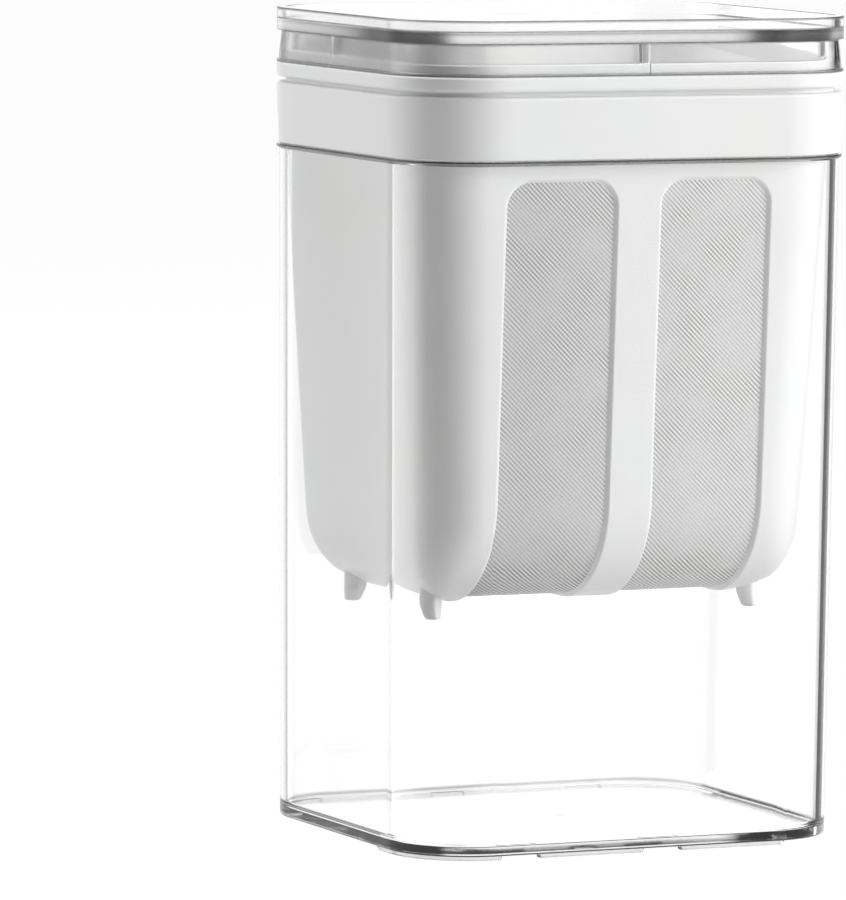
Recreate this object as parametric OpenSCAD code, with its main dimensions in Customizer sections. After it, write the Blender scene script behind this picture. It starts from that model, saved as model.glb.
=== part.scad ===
// Greek yogurt maker: a clear container, a strainer basket with two wrap-around
// mesh windows that hangs in it, and a clear lid.
// Front is -Y, the wide face with two windows. Up is +Z. The foot ring stands on z = 0.

/* [Outline] */
// Width of the lid and collar, left to right
width = 120; // [108:1:140]
// Depth of the lid and collar, front to back
depth = 105; // [96:1:125]
// Corner radius of the lid and collar, seen from above
corner_r = 22.4; // [19:0.1:26]

/* [Container] */
// Height of the container's rim above the table
rim_z = 167.5; // [140:0.5:200]
// How far the container's wall lies inside the outline at the rim
wall_inset_top = 0.8; // [0.4:0.1:1.5]
// How far the container's wall lies inside the outline at the base
wall_inset_base = 2.2; // [1.6:0.1:4]
// Thickness of the container's wall
container_wall = 2.1; // [1.5:0.1:2.4]
// Thickness of the container's floor
floor_t = 2; // [1.5:0.1:4]
// Radius inside, where the floor meets the wall
floor_fillet = 2; // [1:0.1:5]
// Bevel outside, round the underside
base_bevel = 0.8; // [0.3:0.1:1.5]
// Height of the lip round the rim
rim_lip_h = 1; // [0.6:0.1:3]
// How far the lip stands out of the wall
rim_lip_out = 0.7; // [0.2:0.1:0.8]
// Height of the foot ring under the floor
foot_h = 1; // [0.6:0.1:2.5]
// Width of the foot ring
foot_w = 2.4; // [1.6:0.1:5]
// How far the foot ring lies inside the wall
foot_inset = 1; // [0.8:0.1:3]
// Width of each gap in the foot ring
foot_gap = 10.3; // [4:0.1:16]
// Distance from one foot gap to the next
foot_gap_pitch = 37.8; // [30:0.1:45]
// Offset of the middle foot gap from the centre line
foot_gap_offset = 6.7; // [0:0.1:10]
// Diameter of the moulding gate mark under the floor
gate_d = 7.8; // [3:0.1:10]
// Depth of the gate mark
gate_depth = 0.4; // [0.2:0.1:0.8]

/* [Strainer] */
// Gap between the container's rim and the collar that rests on it
seat_gap = 0.2; // [0.1:0.05:0.5]
// Height of the collar
collar_h = 15.1; // [10:0.1:25]
// How much the collar draws in from its top to its bottom edge
collar_draw = 0.7; // [0:0.1:1]
// Rounding of the collar's top edge
collar_round = 0.8; // [0.3:0.1:1.2]
// Thickness of the collar's outer wall
apron_wall = 1.6; // [1:0.1:2.2]
// Thickness of the web that joins the collar to the basket
collar_web = 1.6; // [1:0.1:3]
// Height of the finger groove above the collar
groove_h = 1.1; // [0.8:0.1:4]
// Depth of the finger groove
groove_depth = 2.3; // [1:0.1:2.5]
// Height of the rim band above the groove
band_h = 3.4; // [2.5:0.1:8]
// Rounding of the band's lower edge
band_round = 1; // [0.4:0.1:2]
// Height of the neck that enters the lid
neck_h = 2.9; // [2:0.1:5]
// Thickness of the neck
neck_wall = 1.3; // [1:0.1:1.8]
// Thickness of the basket's wall
basket_wall = 1.6; // [1.6:0.1:2.5]
// Space between basket and container at the rim, left and right
side_space = 0.8; // [0.5:0.1:4]
// Space between basket and container at the rim, front and back
front_space = 3.6; // [1:0.1:6]
// Corner radius of the basket's walls, seen from above
basket_corner_r = 15; // [12:0.5:22]
// Corner radius of the basket's floor, seen from above
floor_corner_r = 4; // [3:0.1:8]
// How much the basket narrows on each side, per millimetre of height
basket_draft = 0.048; // [0.02:0.001:0.06]
// Height of the basket's underside above the table
basket_floor_z = 59; // [45:0.1:80]
// Radius of the bottom bend, front and back
bend_r = 25.4; // [18:0.1:30]
// Radius of the bottom bend, left and right
side_bend_r = 17; // [8:0.1:24]
// Distance from the centre line to the middle of each foot, left and right
peg_x = 42.6; // [36:0.1:44]
// Distance from the centre line to the root of each foot, front and back
peg_y = 20.6; // [10:0.1:22]
// How far each foot leans outwards, front and back
peg_lean = 1.6; // [0:0.1:2]
// Height of the feet below the basket's underside
peg_h = 3.6; // [2:0.1:8]
// Width of a foot at its root, from corner to corner
peg_root = 6; // [4:0.1:8]
// Width of a foot at its tip, from corner to corner
peg_tip = 4.2; // [2:0.1:6]

/* [Windows] */
// Width of the middle rib between the two windows
rib_w = 12.7; // [8:0.1:20]
// Width of each window
window_w = 28.2; // [20:0.1:32]
// Distance from the rim down to the top of the windows
window_drop = 5.5; // [4:0.1:20]
// Corner radius of the windows
window_r = 6; // [3:0.1:10]
// Width and depth of the step round each window
window_step = 0.6; // [0.3:0.1:0.8]
// Thickness of the filter mesh
mesh_t = 0.5; // [0.3:0.1:0.6]
// Depth of the mesh below the basket's outer face
mesh_depth = 1; // [0.8:0.1:1.1]

/* [Lid] */
// Height of the lid from the skirt's edge to its top
lid_h = 13.5; // [11:0.1:25]
// Thickness of the top plate
plate_t = 2.9; // [1.5:0.1:4]
// Height of the flange round the plate
flange_h = 5.6; // [4.5:0.1:7]
// How far the skirt lies inside the flange at its top
skirt_inset = 1.2; // [0.8:0.1:1.3]
// How far the skirt lies inside the flange at its bottom
skirt_flare = 0.45; // [0.1:0.05:0.7]
// How far the inside of the skirt lies inside the outline
skirt_inside = 2; // [1.8:0.1:2.2]
// Height of the lip along the skirt's edge
skirt_lip_h = 0.8; // [0.4:0.1:1.5]
// Gap between the skirt and the neck
skirt_gap = 0.6; // [0.5:0.1:0.9]
// Gap between the plug ring and the neck
plug_gap = 0.3; // [0.2:0.05:0.6]
// Thickness of the plug ring
plug_wall = 1.2; // [0.8:0.1:2]
// Distance that the plug ring reaches into the neck
plug_reach = 5; // [3:0.1:6.5]
// Gap between the centring ribs and the neck
rib_gap = 0.25; // [0.2:0.05:0.4]
// Thickness of each centring rib
lid_rib_t = 2; // [1:0.1:4]
// Rounding of the lid's top edge
edge_round = 0.3; // [0.1:0.1:0.6]

/* [Hidden] */

corner_steps = 10; // facets in each quarter turn of a corner
bend_steps = 8; // levels in the bottom bend
fillet_steps = 3; // levels in the floor fillet
through = 1; // how far a cutter runs past the wall it cuts
bite = 0.4; // how far a rib or foot sinks into the wall that carries it
peg_end = 0.4; // height of the straight part at the tip of a strainer foot

base_z = foot_h;
floor_z = base_z + floor_t;
collar_z = rim_z + seat_gap;
groove_z = collar_z + collar_h;
band_z = groove_z + groove_h;
band_top_z = band_z + band_h;
neck_top_z = band_top_z + neck_h;
skirt_z = band_top_z + seat_gap;
lid_top_z = skirt_z + lid_h;
plate_z = lid_top_z - plate_t;
flange_z = lid_top_z - flange_h;
plug_z = neck_top_z - plug_reach;

neck_out = skirt_inside + skirt_gap;
neck_in = neck_out + neck_wall;
plug_out = neck_in + plug_gap;
plug_in = plug_out + plug_wall;
apron_in = collar_draw + apron_wall;

basket_half_x = width / 2 - wall_inset_top - container_wall - side_space;
basket_half_y = depth / 2 - wall_inset_top - container_wall - front_space;
window_mid = (rib_w + window_w) / 2;
window_top_z = rim_z - window_drop;

// ---- Levels: each is [half width, half depth, corner radius, height] ----

// A level that lies "inset" inside the outline
function outline_level(inset, z) =
    [width / 2 - inset, depth / 2 - inset, corner_r - inset, z];

// How far a bend of radius r takes its wall in, at "drop" below the bend's start
function bend_in(r, drop) = drop <= 0 ? 0 : r - sqrt(max(0, r * r - drop * drop));

// A level of the basket at height z, on a surface "inset" inside its outer face
function basket_level(inset, z) =
    let (
        taper = basket_draft * (rim_z - z) + inset,
        x_in = bend_in(side_bend_r - inset, basket_floor_z + side_bend_r - z),
        y_in = bend_in(bend_r - inset, basket_floor_z + bend_r - z),
        half_x = basket_half_x - taper - x_in,
        half_y = basket_half_y - taper - y_in
    )
    [half_x, half_y, max(floor_corner_r - inset, basket_corner_r - inset - y_in), z];

// The basket's levels from its floor up to the rim
function basket_levels(inset) = [
    for (i = [0 : bend_steps])
        let (turn = 90 * (1 - i / bend_steps))
        basket_level(inset, basket_floor_z + bend_r - (bend_r - inset) * sin(turn)),
    basket_level(inset, rim_z)
];

// The container's wall, on a surface "inset" inside its outer face
function wall_level(inset, z) =
    let (drop = (rim_z - z) / (rim_z - base_z))
    outline_level(inset + wall_inset_top + (wall_inset_base - wall_inset_top) * drop, z);

function reverse(list) = [for (i = [len(list) - 1 : -1 : 0]) list[i]];

// ---- Swept shells ----

// Points round one level, anticlockwise from its right side
function ring(level) = [
    for (q = [0 : 3], s = [0 : corner_steps])
        let (
            turn = 90 * (q + s / corner_steps),
            side_x = q == 0 || q == 3 ? 1 : -1,
            side_y = q < 2 ? 1 : -1
        )
        [
            side_x * (level[0] - level[2]) + level[2] * cos(turn),
            side_y * (level[1] - level[2]) + level[2] * sin(turn),
            level[3]
        ]
];

// A solid swept round the outline: its wall passes through the levels in order,
// outside upwards, and a flat face closes the first level and the last
module sweep(levels) {
    n = 4 * (corner_steps + 1);
    last = (len(levels) - 1) * n;
    points = [for (level = levels) each ring(level)];
    walls = [
        for (i = [0 : len(levels) - 2], j = [0 : n - 1])
            let (a = i * n + j, b = i * n + (j + 1) % n)
            each [[a, a + n, b], [b, a + n, b + n]]
    ];
    first_face = [for (j = [0 : n - 1]) j];
    last_face = [for (j = [n - 1 : -1 : 0]) last + j];
    polyhedron(points, concat([first_face], walls, [last_face]), convexity = 8);
}

// Flat round-cornered outline, "inset" inside the container's wall at its base
module base_outline(inset) {
    w = width - 2 * (wall_inset_base + inset);
    d = depth - 2 * (wall_inset_base + inset);
    r = corner_r - wall_inset_base - inset;
    square([w - 2 * r, d], center = true);
    square([w, d - 2 * r], center = true);
    for (x = [-1, 1], y = [-1, 1])
        translate([x * (w / 2 - r), y * (d / 2 - r)]) circle(r, $fn = 64);
}

// ---- Container ----

// Foot ring: broken at the sides and by gaps along the front and back,
// the same when turned half round
module foot_ring() {
    difference() {
        linear_extrude(base_z + bite) difference() {
            base_outline(foot_inset);
            base_outline(foot_inset + foot_w);
        }
        for (half = [0, 180]) rotate([0, 0, half]) {
            for (step = [-1, 0])
                translate([foot_gap_offset + step * foot_gap_pitch - foot_gap / 2, -depth, -through])
                    cube([foot_gap, depth, base_z + through]);
            translate([foot_gap_offset + foot_gap_pitch - foot_gap / 2, -depth, -through])
                cube([width, depth + corner_r, base_z + through]);
        }
    }
}

module container() {
    lip_z = rim_z - rim_lip_h;
    fillet_top = floor_z + floor_fillet;
    outside = [
        wall_level(base_bevel, base_z),
        wall_level(0, base_z + base_bevel),
        wall_level(0, lip_z - rim_lip_out),
        outline_level(wall_inset_top - rim_lip_out, lip_z),
        outline_level(wall_inset_top - rim_lip_out, rim_z)
    ];
    inside = [
        wall_level(container_wall, rim_z),
        for (i = [0 : fillet_steps])
            let (turn = 90 * i / fillet_steps)
            wall_level(
                container_wall + floor_fillet * (1 - cos(turn)),
                fillet_top - floor_fillet * sin(turn)
            )
    ];
    color([0.86, 0.9, 0.92, 0.35]) difference() {
        union() {
            sweep(concat(outside, inside));
            foot_ring();
        }
        translate([0, 0, base_z - through]) cylinder(h = through + gate_depth, d = gate_d, $fn = 48);
    }
}

// ---- Strainer ----

// Upright outline of one window, carried on down past the basket's floor
module window_outline(extra) {
    w = window_w + 2 * extra;
    r = window_r + extra;
    top = window_top_z + extra;
    translate([-w / 2, 0]) square([w, top - r]);
    translate([r - w / 2, 0]) square([w - 2 * r, top]);
    for (side = [-1, 1]) translate([side * (w / 2 - r), top - r]) circle(r, $fn = 48);
}

// Cutter that takes one window down the front, under the floor and up the back
module window_cutter(side, extra = 0) {
    translate([side * window_mid, depth / 2, 0])
        rotate([90, 0, 0])
        linear_extrude(depth) window_outline(extra);
}

// Tapered square foot, one corner to the front: it leans out, and runs up straight
// into the floor's bend, to the height "top"
module peg(top) {
    hull() {
        translate([0, peg_lean, basket_floor_z - peg_h])
            cylinder(h = peg_end, d = peg_tip, $fn = 4);
        translate([0, 0, basket_floor_z])
            cylinder(h = top - basket_floor_z, d = peg_root, $fn = 4);
    }
}

module strainer_frame() {
    collar_top = groove_z - collar_round;
    web_z = groove_z - collar_web;
    outside = [
        each basket_levels(0),
        outline_level(neck_out, web_z),
        outline_level(apron_in, web_z),
        outline_level(apron_in, collar_z),
        outline_level(collar_draw, collar_z),
        outline_level(0, collar_top),
        outline_level(collar_round, groove_z),
        outline_level(groove_depth, groove_z),
        outline_level(groove_depth, band_z),
        outline_level(band_round, band_z),
        outline_level(0, band_z + band_round),
        outline_level(0, band_top_z),
        outline_level(neck_out, band_top_z),
        outline_level(neck_out, neck_top_z)
    ];
    inside = [
        outline_level(neck_in, neck_top_z),
        outline_level(neck_in, web_z),
        each reverse(basket_levels(basket_wall))
    ];
    color("whitesmoke") difference() {
        union() {
            sweep(concat(outside, inside));
            difference() {
                for (x = [-peg_x, peg_x], turn = [0, 180])
                    rotate([0, 0, turn]) translate([x, peg_y, 0])
                        peg(basket_floor_z + side_bend_r / 2);
                sweep(basket_levels(basket_wall / 2));
            }
        }
        for (side = [-1, 1]) {
            window_cutter(side);
            difference() {
                window_cutter(side, window_step);
                sweep(basket_levels(window_step));
            }
        }
    }
}

// One strip of filter mesh, down the front, under the floor and up the back
module mesh_strip(side) {
    color("silver") intersection() {
        difference() {
            sweep(basket_levels(mesh_depth));
            sweep(basket_levels(mesh_depth + mesh_t));
        }
        window_cutter(side);
    }
}

module mesh_left() {
    mesh_strip(-1);
}

module mesh_right() {
    mesh_strip(1);
}

// ---- Lid ----

// Centring rib between the skirt and the plug ring, stepped over the neck,
// at the distance "reach" from the centre to the outline
module lid_rib(reach) {
    step_z = neck_top_z + seat_gap;
    upper = reach - skirt_inside + bite;
    guide = reach - neck_out + rib_gap;
    translate([reach - plug_out - bite, -lid_rib_t / 2, step_z])
        cube([plug_out + bite - skirt_inside + bite, lid_rib_t, plate_z + bite - step_z]);
    translate([guide, -lid_rib_t / 2, skirt_z])
        cube([upper - guide, lid_rib_t, step_z + bite - skirt_z]);
}

module lid() {
    profile = [
        outline_level(plug_in, plate_z),
        outline_level(plug_in, plug_z),
        outline_level(plug_out, plug_z),
        outline_level(plug_out, plate_z),
        outline_level(skirt_inside, plate_z),
        outline_level(skirt_inside, skirt_z),
        outline_level(0, skirt_z),
        outline_level(0, skirt_z + skirt_lip_h),
        outline_level(skirt_flare, skirt_z + skirt_lip_h),
        outline_level(skirt_inset, flange_z),
        outline_level(0, flange_z),
        outline_level(0, lid_top_z - edge_round),
        outline_level(edge_round, lid_top_z)
    ];
    color([0.86, 0.9, 0.92, 0.35]) union() {
        sweep(profile);
        for (turn = [0, 180]) rotate([0, 0, turn]) lid_rib(width / 2);
        for (turn = [90, 270]) rotate([0, 0, turn]) lid_rib(depth / 2);
    }
}

container();
strainer_frame();
mesh_left();
mesh_right();
lid();
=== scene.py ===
import math

import bmesh
import bpy
import numpy as np
from mathutils import Matrix, Vector


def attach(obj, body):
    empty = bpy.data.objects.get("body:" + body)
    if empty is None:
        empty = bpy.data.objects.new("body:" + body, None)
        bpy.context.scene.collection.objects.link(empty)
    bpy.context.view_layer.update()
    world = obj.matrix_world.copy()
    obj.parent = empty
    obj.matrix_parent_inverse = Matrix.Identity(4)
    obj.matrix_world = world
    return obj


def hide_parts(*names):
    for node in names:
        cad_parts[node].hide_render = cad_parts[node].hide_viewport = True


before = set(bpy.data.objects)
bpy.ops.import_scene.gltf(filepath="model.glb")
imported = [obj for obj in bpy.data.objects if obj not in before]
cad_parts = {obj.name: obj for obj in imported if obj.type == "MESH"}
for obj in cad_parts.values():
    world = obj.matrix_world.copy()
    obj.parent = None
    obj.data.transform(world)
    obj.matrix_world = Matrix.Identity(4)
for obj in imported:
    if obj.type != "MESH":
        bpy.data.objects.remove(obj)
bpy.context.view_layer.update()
print("frame loaded:", ", ".join(sorted(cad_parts)))

mm = 0.001

# the outline that container, collar and lid share, seen from above, in mm
outline = {
    "halfWidth": 60.0,
    "halfDepth": 52.5,
    "height": 201.0,
    "cornerRadius": 22.4,
    "cornerSteps": 28,
    "flatEdge": 0.6,  # a column this far inside the ends of each straight side keeps it flat
}
coreX = outline["halfWidth"] - outline["cornerRadius"]
coreY = outline["halfDepth"] - outline["cornerRadius"]

welding = {"weld": 2e-6, "sliver": 1e-7}  # metres: nearer points are joined, shorter edges go


def hexToLinear(code):
    # sRGB hex to linear light: c / 12.92 in the dark, else ((c + 0.055) / 1.055) to the power 2.4
    parts = [int(code[i:i + 2], 16) / 255 for i in (1, 3, 5)]
    linear = (p / 12.92 if p <= 0.04045 else ((p + 0.055) / 1.055) ** 2.4 for p in parts)
    return tuple(linear) + (1.0,)


def addNode(tree, kind, settings=None, links=None):
    # settings hold the node's own fields and its sockets' values, links the outputs that feed
    # its sockets
    node = tree.nodes.new("ShaderNode" + kind)
    for key, value in (settings or {}).items():
        if isinstance(key, str) and hasattr(node, key):
            setattr(node, key, value)
        else:
            node.inputs[key].default_value = value
    for key, source in (links or {}).items():
        tree.links.new(source, node.inputs[key])
    return node


def noiseScale(size):
    # a noise pattern's scale is 1 / its size, which is given in mm
    return 1 / (size * mm)


def newMaterial(name):
    # an empty material and its node tree
    material = bpy.data.materials.new(name)
    material.use_nodes = True
    material.node_tree.nodes.clear()
    return material, material.node_tree


def makePiece(name, points, faces, material, body, sharpAngle=34):
    # a smooth mesh of points in mm, joined where they meet and sharp where its faces turn by more
    # than the angle in degrees
    mesh = bpy.data.meshes.new(name)
    mesh.from_pydata((np.asarray(points) * mm).tolist(), [], faces)
    mesh.update()
    shape = bmesh.new()
    shape.from_mesh(mesh)
    bmesh.ops.remove_doubles(shape, verts=shape.verts, dist=welding["weld"])
    bmesh.ops.dissolve_degenerate(shape, edges=shape.edges, dist=welding["sliver"])
    shape.to_mesh(mesh)
    shape.free()
    mesh.materials.append(material)
    mesh.shade_smooth()
    mesh.set_sharp_from_angle(angle=math.radians(sharpAngle))
    piece = bpy.data.objects.new(name, mesh)
    bpy.context.scene.collection.objects.link(piece)
    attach(piece, body)
    print("made", name, len(mesh.vertices), "points")
    return piece


def loftFaces(rows, columns):
    # quads between each ring and the next, joined all round
    r, c = np.meshgrid(np.arange(rows - 1), np.arange(columns), indexing="ij")
    a, b = r * columns + c, r * columns + (c + 1) % columns
    return np.stack([a, b, b + columns, a + columns], -1).reshape(-1, 4)


def closedLoft(rings):
    # rings (rows, columns, 3), from the middle of the underside outwards and round to the inside,
    # with a flat cap on the first and the last
    rows, columns = rings.shape[:2]
    faces = loftFaces(rows, columns).tolist()
    faces.append(list(range(columns))[::-1])
    faces.append([(rows - 1) * columns + i for i in range(columns)])
    return rings.reshape(-1, 3), faces


def gridFaces(rows, columns, start=0, flip=False):
    # quads between the neighbours in an open grid whose first point has the number "start"
    r, c = np.meshgrid(np.arange(rows - 1), np.arange(columns - 1), indexing="ij")
    a = start + r * columns + c
    quads = np.stack([a, a + 1, a + columns + 1, a + columns], -1).reshape(-1, 4)
    return quads[:, ::-1] if flip else quads


def roundProfile(points, steps=4, support=0.05):
    # each corner (inset, height, radius) becomes an arc of that radius that touches both of its
    # sides, with one more point beyond each end of the arc that keeps the flat faces flat
    flat = [np.array(p[:2], float) for p in points]
    out = [flat[0]]
    for before, here, after, radius in zip(flat, flat[1:], flat[2:], [p[2] for p in points[1:]]):
        if radius == 0:
            out.append(here)
            continue
        u, v = before - here, after - here
        u, v = u / np.linalg.norm(u), v / np.linalg.norm(v)
        half = math.acos(np.clip(-u @ v, -1, 1)) / 2
        cut = radius * math.tan(half)
        centre = here + (u + v) / np.linalg.norm(u + v) * radius / math.cos(half)
        first, last = here + u * cut - centre, here + v * cut - centre
        out.append(here + u * (cut + support))
        for t in np.linspace(0, 1, steps + 1):
            arm = math.sin((1 - t) * 2 * half) * first + math.sin(t * 2 * half) * last
            out.append(centre + arm / math.sin(2 * half))
        out.append(here + v * (cut + support))
    out.append(flat[-1])
    return np.array(out)


def outlineColumns(alongX, alongY, extraTurns=()):
    # core point and outward direction of each column, anticlockwise from the front left:
    # a ring "inset" inside the outline is core + (cornerRadius - inset) * direction
    turns = np.union1d(np.linspace(0, 90, outline["cornerSteps"] + 1), extraTurns)[1:-1]
    turn = np.radians(turns)
    edge = outline["flatEdge"]
    alongX = np.union1d(alongX, [-coreX, edge - coreX, coreX - edge, coreX])
    alongY = np.union1d(alongY, [-coreY, edge - coreY, coreY - edge, coreY])
    one = np.ones_like
    halfCore = np.concatenate([
        np.stack([alongX, -coreY * one(alongX)], -1),
        np.stack([coreX * one(turn), -coreY * one(turn)], -1),
        np.stack([coreX * one(alongY), alongY], -1),
        np.stack([coreX * one(turn), coreY * one(turn)], -1)])
    halfWay = np.concatenate([
        np.stack([0 * alongX, -one(alongX)], -1), np.stack([np.sin(turn), -np.cos(turn)], -1),
        np.stack([one(alongY), 0 * alongY], -1), np.stack([np.cos(turn), np.sin(turn)], -1)])
    return np.concatenate([halfCore, -halfCore]), np.concatenate([halfWay, -halfWay])


def outlineRings(core, way, insets, heights):
    # core + (cornerRadius - inset) * direction at each height: insets and heights are
    # (rows, columns)
    flat = core[None] + (outline["cornerRadius"] - insets)[..., None] * way[None]
    return np.concatenate([flat, heights[..., None]], -1)


clearSkin = {
    "ior": 1.5,
    "waveSize": 1000 / 38, "waveDepth": 0.6, "waveStrength": 0.004,  # mm
    "hazeSize": 1000 / 900, "hazeRough": 0.03,
    "outward": (0.2, 0.45),  # the normal's share outwards where a wall's painted shade starts and is full
    "leftward": (-0.5, -0.95),  # the same along X for the left wall
    "leftRun": (45.0, -20.0), "leftLeast": 0.2,  # the left side's painted shade grows between these y, in mm
    "dullPaintedShade": 0.6,  # painted shade this dark marks an edge, with the edge's roughness
    "passing": "#FAFAFA", "caught": "#A0A0A0",
    "turns": 8.5,  # light that has met more surfaces than this is caught inside
}


def clearPlastic(name, paintedEdgeShade, edgeRough=0.12):
    # styrene acrylonitrile, injection moulded and polished: hard bright edges and see-through
    # faces with the long shallow waves that a mould leaves. Its edges carry painted shade, dark
    # lines and grey bands in the base colour where the edges look dark, given as (height in mm,
    # grey) stops for the walls that look outwards, for the left one and for the rest
    s = clearSkin
    material, tree = newMaterial(name)
    place = addNode(tree, "TexCoord").outputs["Object"]
    waves = addNode(tree, "TexNoise", {"Scale": noiseScale(s["waveSize"]), "Detail": 1.0},
                    {"Vector": place})
    haze = addNode(tree, "TexNoise", {"Scale": noiseScale(s["hazeSize"])},
                   {"Vector": place})
    polish = addNode(tree, "MapRange", {"To Max": s["hazeRough"]}, {"Value": haze.outputs["Fac"]})
    bump = addNode(tree, "Bump", {"Strength": s["waveStrength"], "Distance": s["waveDepth"] * mm},
                   {"Height": waves.outputs["Fac"]})
    parts = addNode(tree, "SeparateXYZ", {}, {0: place})
    height = addNode(tree, "MapRange", {"From Max": outline["height"] * mm},
                     {"Value": parts.outputs["Z"]})

    def ramp(stops):
        node = addNode(tree, "ValToRGB", {}, {"Fac": height.outputs["Result"]})
        elements = node.color_ramp.elements
        for i, (z, grey) in enumerate(stops):
            share = z / outline["height"]
            stop = elements[i] if i < 2 else elements.new(share)
            stop.position, stop.color = share, hexToLinear(grey)
        return node.outputs["Color"]

    # walls that look outwards: the normal's share along the way out from the middle
    face = addNode(tree, "NewGeometry")
    level = addNode(tree, "VectorMath", {"operation": "MULTIPLY", 1: (1.0, 1.0, 0.0)}, {0: place})
    out = addNode(tree, "VectorMath", {"operation": "NORMALIZE"}, {0: level.outputs[0]})
    outward = addNode(tree, "VectorMath", {"operation": "DOT_PRODUCT"},
                      {0: out.outputs[0], 1: face.outputs["Normal"]})
    upright = addNode(tree, "MapRange", {"From Min": s["outward"][0], "From Max": s["outward"][1]},
                      {"Value": outward.outputs["Value"]})
    # painted shade: the left side's edges are darker, and most of all towards the front
    turned = addNode(tree, "SeparateXYZ", {}, {0: face.outputs["Normal"]})
    leftward = addNode(tree, "MapRange", {
        "From Min": s["leftward"][0], "From Max": s["leftward"][1]}, {"Value": turned.outputs["X"]})
    ahead = addNode(tree, "MapRange", {
        "From Min": s["leftRun"][0] * mm, "From Max": s["leftRun"][1] * mm,
        "To Min": s["leftLeast"]}, {"Value": parts.outputs["Y"]})
    left = addNode(tree, "Math", {"operation": "MULTIPLY"},
                   {0: leftward.outputs["Result"], 1: ahead.outputs["Result"]})
    around = addNode(tree, "Mix", {"data_type": "RGBA"},
                     {0: left.outputs[0], 6: ramp(paintedEdgeShade["outside"]), 7: ramp(paintedEdgeShade["left"])})
    # the rest gets its painted shade where light enters it, and not again where light leaves it
    rest = addNode(tree, "Mix", {"data_type": "RGBA", 7: (1.0, 1.0, 1.0, 1.0)},
                   {0: face.outputs["Backfacing"], 6: ramp(paintedEdgeShade["inside"])})
    # painted shade: the edge greys, chosen by the way each wall faces
    paintedTint = addNode(tree, "Mix", {"data_type": "RGBA"},
                   {0: upright.outputs["Result"], 6: rest.outputs[2], 7: around.outputs[2]})
    # the mould's edges are less polished than its faces: the roughness grows where the painted
    # shade is dark
    dull = addNode(tree, "MapRange", {
        "From Min": 1.0, "From Max": s["dullPaintedShade"], "To Max": edgeRough},
        {"Value": paintedTint.outputs[2]})
    rough = addNode(tree, "Math", {"operation": "ADD"},
                    {0: polish.outputs["Result"], 1: dull.outputs["Result"]})
    skin = addNode(tree, "BsdfPrincipled", {"Transmission Weight": 1.0, "IOR": s["ior"]}, {
        "Base Color": paintedTint.outputs[2], "Roughness": rough.outputs[0],
        "Normal": bump.outputs["Normal"]})
    # lamps and soft light go straight through, and so does light that is caught inside
    path = addNode(tree, "LightPath")
    caught = addNode(tree, "Math", {"operation": "GREATER_THAN", 1: s["turns"]},
                     {0: path.outputs["Ray Depth"]})
    dim = addNode(tree, "Mix", {
        "data_type": "RGBA", 6: hexToLinear(s["passing"]), 7: hexToLinear(s["caught"])},
        {0: caught.outputs[0]})
    passing = addNode(tree, "BsdfTransparent", {}, {"Color": dim.outputs[2]})
    soft = addNode(tree, "Math", {"operation": "MAXIMUM"},
                   {0: path.outputs["Is Shadow Ray"], 1: path.outputs["Is Diffuse Ray"]})
    through = addNode(tree, "Math", {"operation": "MAXIMUM"},
                      {0: soft.outputs[0], 1: caught.outputs[0]})
    mix = addNode(tree, "MixShader", {}, {
        "Fac": through.outputs[0], 1: skin.outputs[0], 2: passing.outputs[0]})
    addNode(tree, "OutputMaterial", {}, {"Surface": mix.outputs[0]})
    return material


whiteSkin = {
    "ior": 1.49,
    "cloudSize": 1000 / 26, "darker": "#EFEFEF", "lighter": "#F4F4F4",  # mm
    "grainSize": 1000 / 2600, "grainDepth": 0.05, "grainStrength": 0.12,
    "smooth": 0.32, "rough": 0.44,
}


def whitePlastic():
    # polypropylene, moulded: a white satin skin with a fine even grain and faint flow clouds
    s = whiteSkin
    material, tree = newMaterial("white_polypropylene_moulded")
    place = addNode(tree, "TexCoord").outputs["Object"]
    clouds = addNode(tree, "TexNoise", {"Scale": noiseScale(s["cloudSize"])},
                     {"Vector": place})
    grain = addNode(tree, "TexNoise", {"Scale": noiseScale(s["grainSize"])},
                    {"Vector": place})
    colour = addNode(tree, "MapRange", {
        "data_type": "FLOAT_VECTOR", 9: hexToLinear(s["darker"])[:3],
        10: hexToLinear(s["lighter"])[:3]}, {"Vector": clouds.outputs["Color"]})
    rough = addNode(tree, "MapRange", {"To Min": s["smooth"], "To Max": s["rough"]},
                    {"Value": grain.outputs["Fac"]})
    bump = addNode(tree, "Bump", {"Strength": s["grainStrength"], "Distance": s["grainDepth"] * mm},
                   {"Height": grain.outputs["Fac"]})
    skin = addNode(tree, "BsdfPrincipled", {"IOR": s["ior"]}, {
        "Base Color": colour.outputs["Vector"], "Roughness": rough.outputs["Result"],
        "Normal": bump.outputs["Normal"]})
    addNode(tree, "OutputMaterial", {}, {"Surface": skin.outputs[0]})
    return material


weave = {
    "linePitch": 0.86,  # mm between the twill's diagonals, coarser than real so that it shows
    "lineAngle": 44.0,  # degrees down to the right
    "beadPitch": 0.72, "beadShare": 0.35,
    "swing": 1.2,  # the sum of both waves that counts as a thread's full height
    # painted highlight on the thread tops and painted shade in the hollows between them
    "light": "#FFFFFF", "dark": "#404040", "plain": "#D2D2D2",
    "patchSize": 1000 / 90, "patch": (0.35, 0.62), "patchLeast": 0.35,
    "middle": 131.1,  # mm along the strip from its top to the middle of the floor
    "reach": 100.0,  # mm from there over which the boldness of the painted thread highlight and shade is given
    "boldEnds": ((0.0, 1.0), (1.0, 0.6)),
    "bold": ((0.2, 1.0), (0.36, 0.75), (0.46, 0.4), (0.58, 0.46), (0.75, 0.58)),
    "contrast": 1.25,
    "paintedLightRun": (-30.0, 20.0), "paintedLightScale": (0.9, 1.1),  # painted shade on the left and painted light on the right, between these x, in mm
    "threadDepth": 0.1, "threadStrength": 0.35, "roughness": 0.5,
}


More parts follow.
